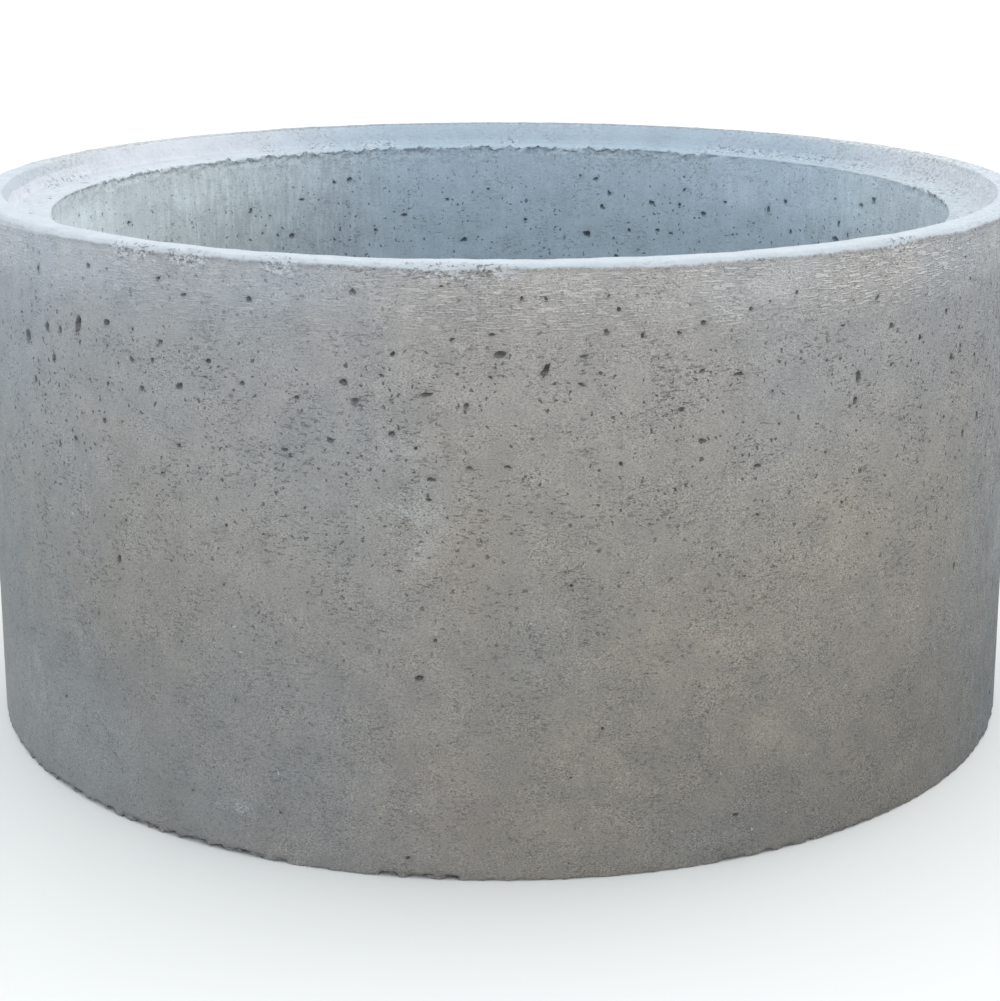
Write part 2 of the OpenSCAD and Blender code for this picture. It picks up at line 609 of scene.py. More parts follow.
@dataclass
class Cells:
    """The clean faces of one sheet, by row and column, with the ones already taken.

    Attributes:
        faces: The face at each row and column.
        spans: Lowest and highest height of each row, or radius on the ledge.
        columns: How many columns go round the ring.
        taken: The places of the faces that a hole and its margin already have.
    """

    faces: dict[tuple[int, int], bmesh.types.BMFace]
    spans: list[tuple[float, float]]
    columns: int
    taken: set[tuple[int, int]] = field(default_factory=set)

    def claim(self, pit: Pit, radius: float) -> tuple[list[bmesh.types.BMFace], Pit] | None:
        """Finds room for a hole and takes it.

        Args:
            pit: The hole.
            radius: The sheet's radius, for the width of its columns.

        Returns:
            The block of faces and the hole moved to fit inside it, or None where there is no room.
        """
        width = FULL_TURN * radius / self.columns
        reach_w, reach_h = pit.reach()
        across = max(1, math.ceil((2 * reach_w + 2.2 * MM) / width))
        first = math.floor((pit.turn % FULL_TURN) / FULL_TURN * self.columns - (across - 1) / 2)
        rows = self.rows_round(pit.along, 2 * reach_h + 2.4 * MM)
        if rows is None:
            return None
        low, top = rows
        block = [(row, column % self.columns)
                 for row in range(low, top + 1) for column in range(first, first + across)]
        if any(key not in self.faces or key in self.taken for key in block):
            return None
        self.taken.update((row, column % self.columns) for row in range(low - 1, top + 2)
                          for column in range(first - 1, first + across + 1))
        bottom, upper = self.spans[low][0], self.spans[top][1]
        slack_h = (upper - bottom) / 2 - reach_h - 1.0 * MM
        slack_w = (across * width / 2 - reach_w - 0.9 * MM) / radius
        middle_turn = (first + across / 2) / self.columns * FULL_TURN
        off = (pit.turn - middle_turn + math.pi) % FULL_TURN - math.pi
        middle_along = (bottom + upper) / 2
        moved = Pit(pit.sheet, middle_turn + min(slack_w, max(-slack_w, off)),
                    middle_along + min(slack_h, max(-slack_h, pit.along - middle_along)),
                    pit.wide, pit.high, pit.deep, pit.tilt)
        return [self.faces[key] for key in block], moved

    def rows_round(self, along: float, high: float) -> tuple[int, int] | None:
        """Finds the rows round a place that are high enough together.

        Args:
            along: The height of the place, or its distance from the axis on the ledge.
            high: How high the rows have to be together.

        Returns:
            The lowest and the highest row, or None where the sheet ends too soon.
        """
        row = next((i for i, (low, top) in enumerate(self.spans) if low <= along < top), None)
        if row is None:
            return None
        low = top = row
        while self.spans[top][1] - self.spans[low][0] < high:
            if top + 1 < len(self.spans) and (top - row <= row - low or low == 0):
                top += 1
            elif low > 0:
                low -= 1
            else:
                return None
        return low, top


@dataclass
class Mouth:
    """An air hole while it is being sunk.

    Attributes:
        pit: The hole.
        face: The face inside its last contour.
        outline: How far each corner of its contours is out of a true ellipse, as a factor.
    """

    pit: Pit
    face: bmesh.types.BMFace
    outline: list[float]


@dataclass
class CastRing:
    """The ring's visible casting: one closed mesh with rough faces, broken edges and air holes.

    Attributes:
        section: The wall's section.
        relief: The depth of the rough surface.
        plan: The air holes.
        columns: How many columns of faces go round it.
        name: The piece's name.
        large_hole: Half the width over which a hole gets more corners and a rougher outline.
        bowl: Half the width over which a hole gets a second contour.
        pale_blots: The pale blots of the outer wall. Each has its turn in degrees, its height, half its
            width, half its height and its strength.
        warm_blots: The warm stains of the outer wall, in the same way.
    """

    section: Section
    relief: Relief
    plan: PitPlan
    columns: int = 320
    name: str = "culvert_ring_casting"
    large_hole: float = 2.4 * MM
    bowl: float = 1.6 * MM
    pale_blots: Rows = (
        (-7.5, 0.35, 0.022, 0.045, 0.40), (-9, 0.425, 0.02, 0.014, 0.35), (-46, 0.19, 0.02, 0.02, 0.3),
        (-57, 0.10, 0.02, 0.03, 0.3), (-38, 0.31, 0.03, 0.02, 0.2), (70, 0.22, 0.05, 0.04, 0.3),
        (140, 0.36, 0.03, 0.06, 0.4), (-120, 0.25, 0.04, 0.03, 0.35), (-26, 0.048, 0.018, 0.008, 0.5),
    )
    warm_blots: Rows = (
        (13, 0.225, 0.035, 0.03, 0.25), (22, 0.23, 0.05, 0.035, 0.35), (34, 0.315, 0.045, 0.05, 0.4),
        (8, 0.10, 0.05, 0.05, 0.25), (27, 0.13, 0.06, 0.04, 0.3), (115, 0.2, 0.06, 0.05, 0.4),
        (-150, 0.3, 0.05, 0.06, 0.4),
    )

    def spin(self) -> bmesh.types.BMesh:
        """Turns the section into the clean ring.

        Returns:
            The closed mesh, with outward faces.
        """
        bm = bmesh.new()
        self.section.draw(bm)
        bmesh.ops.spin(bm, geom=list(bm.verts) + list(bm.edges), cent=(0, 0, 0), axis=(0, 0, 1),
                       dvec=(0, 0, 0), angle=FULL_TURN, steps=self.columns, use_merge=True,
                       use_normal_flip=False, use_duplicate=False)
        bmesh.ops.remove_doubles(bm, verts=bm.verts, dist=0.01 * MM)
        bmesh.ops.recalc_face_normals(bm, faces=bm.faces)
        return bm

    def refine_edges(self, bm: bmesh.types.BMesh) -> None:
        """Gives the edges that break two or three times as many columns.

        Args:
            bm: The clean ring.
        """
        section = self.section
        thirds, halves = [], []
        for edge in bm.edges:
            one, two = (vert.co for vert in edge.verts)
            radius = radius_of(one)
            if max(abs(one.z - two.z), abs(radius - radius_of(two))) > 0.01 * MM:
                continue
            foot = one.z < 9.5 * MM and radius > section.outer_r - 8 * MM
            rim = one.z > section.drag_high - 1 * MM and radius > section.outer_r - 6.5 * MM
            lip = one.z > section.ledge_z - 14 * MM
            lip = lip and radius < section.bore_r + section.burr_band - 1 * MM
            if foot or lip:
                thirds.append(edge)
            elif rim:
                halves.append(edge)
        bmesh.ops.subdivide_edges(bm, edges=thirds, cuts=2, use_grid_fill=True)
        bmesh.ops.subdivide_edges(bm, edges=halves, cuts=1, use_grid_fill=True)

    def cells(self, bm: bmesh.types.BMesh, sheet: Sheet) -> Cells:
        """Sorts the clean faces of one sheet by row and column.

        Args:
            bm: The clean ring.
            sheet: The sheet to sort.

        Returns:
            The cells of that sheet.
        """
        spans, found = set(), []
        for face in bm.faces:
            co = face.calc_center_median()
            if len(face.verts) != 4 or not self.lies_on(sheet, co):
                continue
            reach = [radius_of(vert.co) if sheet is Sheet.LEDGE else vert.co.z for vert in face.verts]
            span = (round(min(reach), 5), round(max(reach), 5))
            column = math.floor((turn_of(co) % FULL_TURN) / FULL_TURN * self.columns)
            spans.add(span)
            found.append((span, column, face))
        order = sorted(spans)
        rows = {span: index for index, span in enumerate(order)}
        return Cells({(rows[span], column): face for span, column, face in found}, order, self.columns)

    def lies_on(self, sheet: Sheet, co: Vector) -> bool:
        """Says whether a place is on the part of a sheet that can hold air holes.

        Args:
            sheet: The sheet.
            co: A place on the clean surface, in metres.

        Returns:
            True where it can.
        """
        section, radius = self.section, radius_of(co)
        if sheet is Sheet.OUTER:
            return radius > section.outer_r - 0.2 * MM and section.foot_band < co.z < section.drag_high
        if sheet is Sheet.BORE:
            top = section.ledge_z - section.lip_band
            return radius < section.bore_r + 0.2 * MM and section.foot_band < co.z < top
        low, high = section.bore_r + section.burr_band, section.rebate_foot_x - 7 * MM
        return abs(co.z - section.ledge_z) < 0.05 * MM and low < radius < high

    def roughen(self, bm: bmesh.types.BMesh) -> None:
        """Moves every vertex into the concrete by the relief's depth.

        Args:
            bm: The clean ring.
        """
        bm.normal_update()
        relief = self.relief
        moves = [(vert, Vector((0, 0, relief.lift(vert.co))) - vert.normal * relief.depth(vert.co))
                 for vert in bm.verts]
        for vert, move in moves:
            vert.co += move

    def place(self, sheet: Sheet, turn: float, along: float, deep: float) -> Vector:
        """A point under the rough surface.

        Args:
            sheet: The sheet that it lies under.
            turn: Angle round the axis.
            along: Height, or radius on the ledge.
            deep: How far below the rough surface.

        Returns:
            The point, in metres.
        """
        section = self.section
        radius = {Sheet.OUTER: section.outer_r, Sheet.BORE: section.bore_r, Sheet.LEDGE: along}[sheet]
        z = section.ledge_z if sheet is Sheet.LEDGE else along
        spoke = Vector((math.sin(turn), -math.cos(turn), 0))
        clean = spoke * radius + Vector((0, 0, z))
        inward = {Sheet.OUTER: -spoke, Sheet.BORE: spoke, Sheet.LEDGE: Vector((0, 0, -1))}[sheet]
        return clean + inward * (self.relief.depth(clean) + deep)

    def sheet_radius(self, pit: Pit) -> float:
        """Radius of the sheet at a hole."""
        radii = {Sheet.OUTER: self.section.outer_r, Sheet.BORE: self.section.bore_r, Sheet.LEDGE: pit.along}
        return radii[pit.sheet]

    def ring_at(self, mouth: Mouth, share: float, deep: float) -> None:
        """Moves the corners of a hole's inner face onto one contour of the hole.

        Args:
            mouth: The hole and its inner face.
            share: Size of the contour, as a share of the hole's mouth.
            deep: Depth of the contour.
        """
        pit, corners = mouth.pit, mouth.face.verts
        radius = self.sheet_radius(pit)
        start = self.heading(pit, corners[0].co)
        way = 1 if (self.heading(pit, corners[1].co) - start) % FULL_TURN < math.pi else -1
        cos_t, sin_t = math.cos(pit.tilt), math.sin(pit.tilt)
        for index, vert in enumerate(corners):
            angle = start + way * FULL_TURN * index / len(corners)
            u = pit.wide * math.cos(angle) * share * mouth.outline[index]
            v = pit.high * math.sin(angle) * share * mouth.outline[index]
            across, up = u * cos_t - v * sin_t, u * sin_t + v * cos_t
            vert.co = self.place(pit.sheet, pit.turn + across / radius, pit.along + up, deep)

    def heading(self, pit: Pit, co: Vector) -> float:
        """Direction of a point from a hole's middle, in the sheet's own plane and the hole's tilt."""
        off = (turn_of(co) - pit.turn + math.pi) % FULL_TURN - math.pi
        up = (radius_of(co) if pit.sheet is Sheet.LEDGE else co.z) - pit.along
        return math.atan2(up, off * self.sheet_radius(pit)) - pit.tilt

    def dig(self, bm: bmesh.types.BMesh, sheets: dict[Sheet, Cells]) -> int:
        """Sinks the air holes into the rough ring.

        Args:
            bm: The rough ring.
            sheets: The cells of each sheet.

        Returns:
            How many holes found room.
        """
        chance = random.Random(23)
        placed = self.take_blocks(bm, sheets)
        faces = self.inner_faces(bm, len(placed))
        self.add_corners(bm, faces, placed)
        mouths = [self.open_mouth(bm, chance, placed[index], face) for index, face in faces.items()]
        self.sink(bm, mouths)
        return len(placed)

    def take_blocks(self, bm: bmesh.types.BMesh, sheets: dict[Sheet, Cells]) -> dict[int, Pit]:
        """Gives each hole a block of faces, makes it one face and insets it.

        Args:
            bm: The rough ring.
            sheets: The cells of each sheet.

        Returns:
            The holes that found room, by number.
        """
        tag = bm.faces.layers.int["pit"]
        placed, blocks = {}, []
        for pit in self.plan.all():
            room = sheets[pit.sheet].claim(pit, self.sheet_radius(pit))
            if room is None:
                continue
            block, moved = room
            placed[len(placed) + 1] = moved
            for face in block:
                face[tag] = len(placed)
            blocks += block if len(block) > 1 else []
        bmesh.ops.dissolve_faces(bm, faces=blocks, use_verts=False)
        whole = [face for face in bm.faces if face[tag]]
        bmesh.ops.inset_individual(bm, faces=whole, thickness=0.4 * MM, use_even_offset=True)
        return placed

    def inner_faces(self, bm: bmesh.types.BMesh, count: int) -> dict[int, bmesh.types.BMFace]:
        """Finds the inner face of each inset block.

        Args:
            bm: The ring.
            count: How many holes there are.

        Returns:
            The inner face of each hole, by its number.
        """
        tag = bm.faces.layers.int["pit"]
        inner = {}
        for face in bm.faces:
            index = face[tag]
            if index and all(other[tag] == index for edge in face.edges for other in edge.link_faces):
                inner[index] = face
        log.info("%d of %d holes have their face", len(inner), count)
        return inner

    def add_corners(self, bm: bmesh.types.BMesh, faces: dict[int, bmesh.types.BMFace],
                    placed: dict[int, Pit]) -> None:
        """Gives each hole's inner face enough corners to look round, and a large one's more.

        Args:
            bm: The ring.
            faces: The inner face of each hole, by number.
            placed: The holes, by number.
        """
        for enough, over in ((8, 0.0), (11, self.large_hole)):
            edges = {edge: None for index, face in faces.items() for edge in face.edges
                     if len(face.verts) < enough and placed[index].wide > over}
            bmesh.ops.bisect_edges(bm, edges=list(edges), cuts=1)

    def open_mouth(self, bm: bmesh.types.BMesh, chance: random.Random, pit: Pit,
                   face: bmesh.types.BMFace) -> Mouth:
        """Shapes the mouth of a hole, with a sharp edge.

        Args:
            bm: The ring.
            chance: Where the random numbers come from.
            pit: The hole.
            face: Its inner face.

        Returns:
            The open hole.
        """
        pit_shade = bm.verts.layers.float["pit_shade"]
        rough = 0.08 if pit.wide < self.large_hole else 0.11
        mouth = Mouth(pit, face, self.blob(chance, len(face.verts), rough))
        self.ring_at(mouth, 1.0, 0.15 * MM)
        for edge in face.edges:
            edge.smooth = False
        for vert in face.verts:
            # A little painted shade at the mouth of the hole.
            vert[pit_shade] = 0.2
        return mouth

    def sink(self, bm: bmesh.types.BMesh, mouths: list[Mouth]) -> None:
        """Sinks the open holes by one or two more contours and a point, with painted shade in them that is
        darkest under their brow.

        Args:
            bm: The ring.
            mouths: The open holes.
        """
        pit_shade = bm.verts.layers.float["pit_shade"]
        for share, deep, dark, over in ((0.84, 0.55, 0.8, 0.0), (0.55, 0.92, 1.0, self.bowl)):
            sunk = [mouth for mouth in mouths if mouth.pit.wide > over]
            bmesh.ops.inset_individual(bm, faces=[mouth.face for mouth in sunk], thickness=0.05 * MM)
            for mouth in sunk:
                self.ring_at(mouth, share, deep * mouth.pit.deep)
                for vert in mouth.face.verts:
                    # Painted shade: darkest on the upper side of the hole, under its brow.
                    brow = 0.5 + 0.5 * math.sin(self.heading(mouth.pit, vert.co) + mouth.pit.tilt)
                    vert[pit_shade] = dark * (0.4 + 0.6 * brow)
        made = bmesh.ops.poke(bm, faces=[mouth.face for mouth in mouths])
        for vert in made["verts"]:
            vert[pit_shade] = 0.9

    def blob(self, chance: random.Random, count: int, rough: float) -> list[float]:
        """An uneven outline for a hole.

        Args:
            chance: Where the random numbers come from.
            count: How many corners the outline has.
            rough: How uneven it is.

        Returns:
            How far each corner is out of a true ellipse, as a factor.
        """
        waves = [(turns, chance.gauss(0, rough), chance.uniform(0, FULL_TURN)) for turns in (1, 2, 3, 5)]
        return [max(0.45, 1 + sum(high * math.cos(turns * FULL_TURN * corner / count + start)
                                  for turns, high, start in waves)) for corner in range(count)]

    def paint(self, bm: bmesh.types.BMesh) -> None:
        """Writes where the pale skin, the passage, the blots, and the crumbs with their painted shade are.

        Args:
            bm: The clean ring.
        """
        section, relief = self.section, self.relief
        layers = bm.verts.layers.float
        for vert in bm.verts:
            co = vert.co
            radius = radius_of(co)
            rim = ease(co.z, section.height - 2.5 * MM, section.height - 0.3 * MM)
            rebate = 0.7 * ease(radius, section.outer_r - 8 * MM, section.outer_r - 14 * MM)
            rebate *= ease(co.z, section.ledge_z - 4 * MM, section.ledge_z - 0.3 * MM)
            torn = ease(radius, section.bore_r + 16 * MM, section.bore_r + 12 * MM)
            torn *= ease(relief.broken_edges(co, radius) + relief.lift(co), 0.4 * MM, 1.6 * MM)
            vert[layers["laitance"]] = max(rim, rebate) * (1 - torn)
            # Where pale crumbs and dark flecks of painted shade go, strongly where the lip is torn.
            vert[layers["crumbs_and_shade"]] = max(0.8 * torn, self.crumbs_and_shade(co, radius))
            vert[layers["passage"]] = ease(radius, section.bore_r + 14 * MM, section.bore_r + 10 * MM)
            vert[layers["bloom"]] = self.blots(co, radius, self.pale_blots)
            vert[layers["rust"]] = self.blots(co, radius, self.warm_blots)

    def crumbs_and_shade(self, co: Vector, radius: float) -> float:
        """Where pale crumbs and the painted shade of dark flecks go: the crumbled rim, the scabs under the
        lip, or the crumbs in the rebate.

        Args:
            co: A place on the clean surface, in metres.
            radius: Its distance from the axis.

        Returns:
            0 where there are none, 1 where they are darkest.
        """
        section, relief = self.section, self.relief
        rim = ease(co.z, section.height - 22 * MM, section.height - 12 * MM)
        rim *= ease(radius, section.outer_r - 12 * MM, section.outer_r - 4 * MM)
        under = ease(radius, section.bore_r + 4 * MM, section.bore_r + 2 * MM)
        under *= ease(co.z, section.ledge_z - 40 * MM, section.ledge_z - 8 * MM)
        shelf = ease(radius, section.outer_r - 12 * MM, section.outer_r - 18 * MM)
        shelf *= ease(radius, section.bore_r + 2 * MM, section.bore_r + 6 * MM)
        crumbs = shelf * relief.near(co, relief.specked) * ease(grain(co, 26, 26, 33), 0.44, 0.54)
        crumbs *= 0.3 + 0.7 * ease(co.z, section.ledge_z + 9 * MM, section.ledge_z + 3 * MM)
        scabs = 0.7 * under * relief.near(co, relief.scabby)
        return max(rim * relief.near(co, relief.crumbled), scabs, crumbs)

    def blots(self, co: Vector, radius: float, places: Rows) -> float:
        """How strong some blots are at a place.

        Args:
            co: The place.
            radius: Its distance from the axis.
            places: The turn and height of each blot, half its width, half its height, and its strength.

        Returns:
            The strength, 0 away from all of them and everywhere but on the outer wall.
        """
        if radius < self.section.outer_r - 1 * MM:
            return 0.0
        total = 0.0
        for turn, z, wide, high, strong in places:
            across = math.radians(degrees_off(co, turn)) * radius / wide
            total += strong * math.exp(-(across * across + ((co.z - z) / high) ** 2))
        return min(1.0, total)

    def build(self) -> bpy.types.Object:
        """Makes the casting and ties it to the frame.

        Returns:
            The casting.
        """
        bm = self.spin()
        for name in MASKS:
            bm.verts.layers.float.new(name)
        bm.faces.layers.int.new("pit")
        self.refine_edges(bm)
        sheets = {sheet: self.cells(bm, sheet) for sheet in Sheet}
        self.paint(bm)
        self.roughen(bm)
        holes = self.dig(bm, sheets)
        bm.faces.layers.int.remove(bm.faces.layers.int["pit"])
        bmesh.ops.recalc_face_normals(bm, faces=bm.faces)
        for face in bm.faces:
            face.smooth = True
        triangles = sum(len(face.verts) - 2 for face in bm.faces)
        mesh = bpy.data.meshes.new(self.name)
        bm.to_mesh(mesh)
        bm.free()
        casting = bpy.data.objects.new(self.name, mesh)
        bpy.context.collection.objects.link(casting)
        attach(casting, BODY)
        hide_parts(NODE)
        log.info("%s: %d holes, %d triangles", self.name, holes, triangles)
        return casting


class Nodes:
    """A small writer of node trees."""

    def __init__(self, name: str) -> None:
        """Starts a material with an empty tree.

        Args:
            name: The material's name.
        """
        self.material = bpy.data.materials.new(name)
        self.material.use_nodes = True
        self.tree = self.material.node_tree
        self.tree.nodes.clear()

    def add(self, kind: str, links: dict[str | int, Socket] | None = None,
            values: dict[str | int, object] | None = None, **settings: object) -> bpy.types.Node:
        """Adds one node.

        Args:
            kind: The node's type, without the ShaderNode in front.
            links: Output sockets to join, by the name or number of the input.
            values: Values to set, by the name or number of the input.
            settings: Properties of the node itself.

        Returns:
            The node.
        """
        node = self.tree.nodes.new("ShaderNode" + kind)
        for key, value in settings.items():
            setattr(node, key, value)
        for key, value in (values or {}).items():
            node.inputs[key].default_value = value
        for key, socket in (links or {}).items():
            self.tree.links.new(socket, node.inputs[key])
        return node

    def math(self, operation: str, *values: Value) -> Socket:
        """Adds a Math node.

        Args:
            operation: The node's operation.
            values: Sockets or numbers, in the order of its inputs.

        Returns:
            The result's socket.
        """
        node = self.add("Math", operation=operation)
        for index, value in enumerate(values):
            if isinstance(value, Socket):
                self.tree.links.new(value, node.inputs[index])
            else:
                node.inputs[index].default_value = value
        return node.outputs[0]

    def product(self, first: Value, *others: Value) -> Socket:
        """Multiplies sockets and numbers.

        Args:
            first: The first of them.
            others: The others.

        Returns:
            The product's socket.
        """
        result = first
        for value in others:
            result = self.math("MULTIPLY", result, value)
        return result

    def total(self, first: Value, *others: Value) -> Socket:
        """Adds sockets and numbers together.

        Args:
            first: The first of them.
            others: The others.

        Returns:
            The total's socket.
        """
        result = first
        for value in others:
            result = self.math("ADD", result, value)
        return result

    def vector(self, operation: str, links: dict[int, Socket],
               values: dict[int, object] | None = None) -> Socket:
        """Adds a Vector Math node and returns its vector's socket."""
        return self.add("VectorMath", links, values, operation=operation).outputs[0]

    def fade(self, value: Socket, low: float, high: float, to_low: float = 0.0,
             to_high: float = 1.0) -> Socket:
        """Adds a smooth step from to_low, at low, to to_high, at high."""
        node = self.add("MapRange", {0: value}, {1: low, 2: high, 3: to_low, 4: to_high},
                        interpolation_type="SMOOTHSTEP")
        return node.outputs[0]

    def band(self, value: Socket, start: float, full: float, fading: float, end: float) -> Socket:
        """Adds a mask that rises from start to full, stays at 1 and falls from fading to end."""
        return self.product(self.fade(value, start, full), self.fade(value, end, fading))

    def mix(self, share: Value, one: Socket | Colour, two: Socket | Colour, blend: str = "MIX") -> Socket:
        """Mixes two colours.

        Args:
            share: How much of the second shows, as a socket or a number.
            one: First colour, as a socket or a tuple.
            two: Second colour, as a socket or a tuple.
            blend: The Mix node's way of mixing.

        Returns:
            The mixed colour's socket.
        """
        node = self.add("Mix", data_type="RGBA", blend_type=blend)
        for index, value in ((0, share), (6, one), (7, two)):
            if isinstance(value, Socket):
                self.tree.links.new(value, node.inputs[index])
            elif index:
                node.inputs[index].default_value = (*value, 1.0)
            else:
                node.inputs[index].default_value = value
        return node.outputs[2]

    def tinted(self, colour: Socket, tint: Socket | Colour) -> Socket:
        """Multiplies a colour by another."""
        return self.mix(1.0, colour, tint, "MULTIPLY")

    def scaled(self, colour: Socket, value: Socket) -> Socket:
        """Multiplies a colour by a value."""
        return self.tinted(colour, self.add("CombineColor", {0: value, 1: value, 2: value}).outputs[0])

    def lifted(self, colour: Socket, share: Socket) -> Socket:
        """Makes a colour lighter by a share of itself, or darker where the share is below 0."""
        return self.scaled(colour, self.total(share, 1.0))

    def attribute(self, name: str) -> Socket:
        """Reads a value that the mesh holds at its vertices."""
        return self.add("Attribute", attribute_name=name).outputs["Fac"]

    def noise(self, place: Socket, scale: float, detail: float = 2.0, rough: float = 0.5) -> Socket:
        """Adds a noise texture and returns its value's socket."""
        node = self.add("TexNoise", {"Vector": place},
                        {"Scale": scale, "Detail": detail, "Roughness": rough})
        return node.outputs["Fac"]

    def stretch(self, place: Socket, across: float, up: float) -> Socket:
        """Scales the coordinates by one factor across and another up."""
        node = self.add("Mapping", {"Vector": place}, {"Scale": (across, across, up)})
        return node.outputs["Vector"]


@dataclass(frozen=True)
class Surface:
    """The sockets that the layers of the concrete share.

    Attributes:
        place: The ring's own coordinates.
        east: X.
        north: Y.
        z: Height.
        laitance: How much pale skin there is.
        passage: 1 on the wall of the passage.
        pit_shade: How much painted shade an air hole has.
        bloom: Strength of the pale blots.
        rust: Strength of the warm stains.
        crumbs_and_shade: Where the pale crumbs and the painted shade of the dark flecks go.
        grit: The sand.
        mottle: A slow noise.
        speck: A noise a few millimetres long.
        outside: 1 on the outer wall.
        dragged: Where the collar dragged the outer wall.
        left: 1 on the ring's left side, towards -X.
        right: 1 on its right side, towards +X.
        smooth: 1 where the outer wall is smoothest, at the top of its left side.
    """

    place: Socket
    east: Socket
    north: Socket
    z: Socket
    laitance: Socket
    passage: Socket
    pit_shade: Socket
    bloom: Socket
    rust: Socket
    crumbs_and_shade: Socket
    grit: Socket
    mottle: Socket
    speck: Socket
    outside: Socket
    dragged: Socket
    left: Socket
    right: Socket
    smooth: Socket


@dataclass(frozen=True)
class ConcreteFinish:
    """Cast grey concrete: sandy, pitted and stained, with a pale skin on the rim and rebate, and with light
    and shade painted into its colour.

    Attributes:
        height: The ring's height.
        drag_low: Foot of the collar's marks.
        drag_high: Top of the collar's marks.
        cool: Colour of the cooler patches of the outer wall.
        warm: Colour of its warmer patches.
        skin: Colour of the pale skin on the rim.
        far_skin: Colour of the skin on the far side of the rim, darker and bluer with painted shade.
        side_skin: Colour of the skin at the sides of that far part, paler with painted light.
        rebate: Colour of the rebate's wall and ledge, darker and bluer than its sides, with painted shade
            and sky light.
        left_lit_rebate: Colour of the rebate's left side, paler with painted light.
        right_lit_rebate: Colour of the rebate's other side, on the right, paler with painted light.
        ledge_tint: How the ledge differs from the rebate's wall.
        inner: Colour of the wall of the passage, bluish with painted sky light.
        lit_inner: Colour of its sides, paler with painted light.
        hole_shade: Colour of the painted shade in the holes.
        passage_hole_shade: Colour of the painted shade in the holes of the passage.
        sky_tint: How the wall's colour turns cooler towards the rim, as painted sky light.
        glow_tint: How its lower front turns paler and warmer, as painted warm light.
        cool_hue: The cooler end of the slight changes of hue all over the wall.
        warm_hue: Their warmer end.
        lime: Colour of the pale marks.
        ochre: Colour of the warm stains.
        sand_tone: How far the sand changes the colour.
        wrinkle_shading_tone: How far the painted highlights and shade of the wrinkles under the rim change
            the colour.
        nick_tone: How far the nicks in the cement skin do.
        hole_tone: How far the painted shade of the pinholes and the dark flecks darkens the colour.
        pit_shade_tone: How far the painted shade of the air holes darkens the colour.
        pinholes_per_metre: How many places for a pinhole there are in a row a metre long.
        roughness: Roughness of the surface.
        specular: Strength of its shine.
    """

    height: float
    drag_low: float
    drag_high: float
    cool: Colour = (0.316, 0.325, 0.327)
    warm: Colour = (0.362, 0.329, 0.291)
    skin: Colour = (0.65, 0.68, 0.72)
    far_skin: Colour = (0.37, 0.405, 0.45)
    side_skin: Colour = (0.60, 0.61, 0.615)
    rebate: Colour = (0.505, 0.585, 0.66)
    left_lit_rebate: Colour = (0.80, 0.80, 0.835)
    right_lit_rebate: Colour = (0.69, 0.705, 0.735)
    ledge_tint: Colour = (0.835, 0.87, 0.88)
    inner: Colour = (0.43, 0.508, 0.58)
    lit_inner: Colour = (0.68, 0.715, 0.715)
    hole_shade: Colour = (0.052, 0.053, 0.050)
    passage_hole_shade: Colour = (0.050, 0.064, 0.078)
    sky_tint: Colour = (0.978, 1.0, 1.068)
    glow_tint: Colour = (1.09, 1.05, 1.025)
    cool_hue: Colour = (0.994, 1.0, 1.008)
    warm_hue: Colour = (1.005, 1.0, 0.990)
    lime: Colour = (0.50, 0.525, 0.54)
    ochre: Colour = (0.375, 0.325, 0.265)
    sand_tone: float = 1.7
    wrinkle_shading_tone: float = 0.36
    nick_tone: float = 0.32
    hole_tone: float = 0.72
    pit_shade_tone: float = 0.9
    pinholes_per_metre: float = 150
    roughness: float = 0.93
    specular: float = 0.25

    def build(self) -> bpy.types.Material:
        """Writes the material, layer over layer.

        Returns:
            The material.
        """
        nodes = Nodes("cast_concrete")
        on = self.surface(nodes)
        wrinkles, wrinkle_shading = self.wrinkles(nodes, on)
        nicks = self.nicks(nodes, on)
        edge, rim_shadow = self.rim_edge(nodes, on)
        covered = nodes.math("MAXIMUM", nodes.fade(on.laitance, 0.15, 0.6), edge)

        colour = nodes.mix(on.passage, self.marked_wall(nodes, on), self.passage_wall(nodes, on))
        colour = nodes.scaled(colour, self.tone(nodes, on, wrinkle_shading, nicks))
        colour = nodes.mix(covered, colour, self.pale_skin(nodes, on, edge))
        # Painted shadow: a thin dark line under the rim's pale skin.
        colour = nodes.lifted(colour, nodes.product(rim_shadow, -0.15))
        colour = self.speckled(nodes, on, colour, covered)
        bump = self.bump(nodes, on, wrinkles, nicks)
        shader = nodes.add("BsdfPrincipled", {"Base Color": colour, "Normal": bump},
                           {"Roughness": self.roughness, "Specular IOR Level": self.specular})
        nodes.add("OutputMaterial", {"Surface": shader.outputs[0]})
        return nodes.material

    def surface(self, nodes: Nodes) -> Surface:
        """Writes the coordinates, masks and noises that the layers share.

        Args:
            nodes: The tree.

        Returns:
            Their sockets.
        """
        place = nodes.add("TexCoord").outputs["Object"]
        east, north, z = nodes.add("SeparateXYZ", {0: place}).outputs
        masks = {name: nodes.attribute(name) for name in MASKS}
        outside = nodes.product(nodes.fade(masks["passage"], 0.0, 0.3, 1.0, 0.0),
                                nodes.fade(masks["laitance"], 0.02, 0.3, 1.0, 0.0))
        return Surface(
            place=place, east=east, north=north, z=z, **masks,
            grit=nodes.noise(nodes.stretch(place, 520, 860), 1.0, 1.5, 0.75),
            mottle=nodes.noise(place, 30, 3.0, 0.6),
            speck=nodes.noise(nodes.stretch(place, 200, 320), 1.0, 2.0, 0.7),
            outside=outside,
            dragged=nodes.product(self.collar_band(nodes, place, east, z), outside),
            left=nodes.fade(east, -0.10, -0.43),
            right=nodes.fade(east, 0.36, 0.54),
            smooth=nodes.product(nodes.fade(east, -0.05, -0.30), nodes.fade(z, 0.48, 0.53)),
        )

